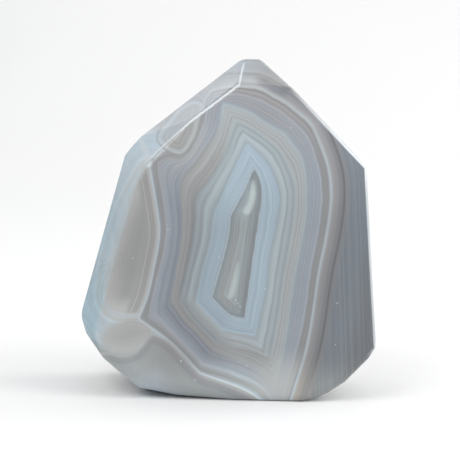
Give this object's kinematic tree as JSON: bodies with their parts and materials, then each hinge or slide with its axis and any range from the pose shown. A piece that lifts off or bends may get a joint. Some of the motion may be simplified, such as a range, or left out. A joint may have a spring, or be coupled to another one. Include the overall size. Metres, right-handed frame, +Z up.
{
  "type": "agate freeform",
  "caption": "Polished banded agate freeform with a pointed top, flat polished sides and a flat base that it stands on.",
  "frame": {"origin": "centre of the bounding box at the level of the cut base", "axes": "+X to the right as the banded front face is seen, +Y from the front face to the back, +Z up from the base to the point"},
  "size_m": [0.0706, 0.033, 0.0818],
  "materials": {
    "agate": "high polish"
  },
  "bodies": {
    "root": {"agate": "agate"}
  },
  "joints": []
}
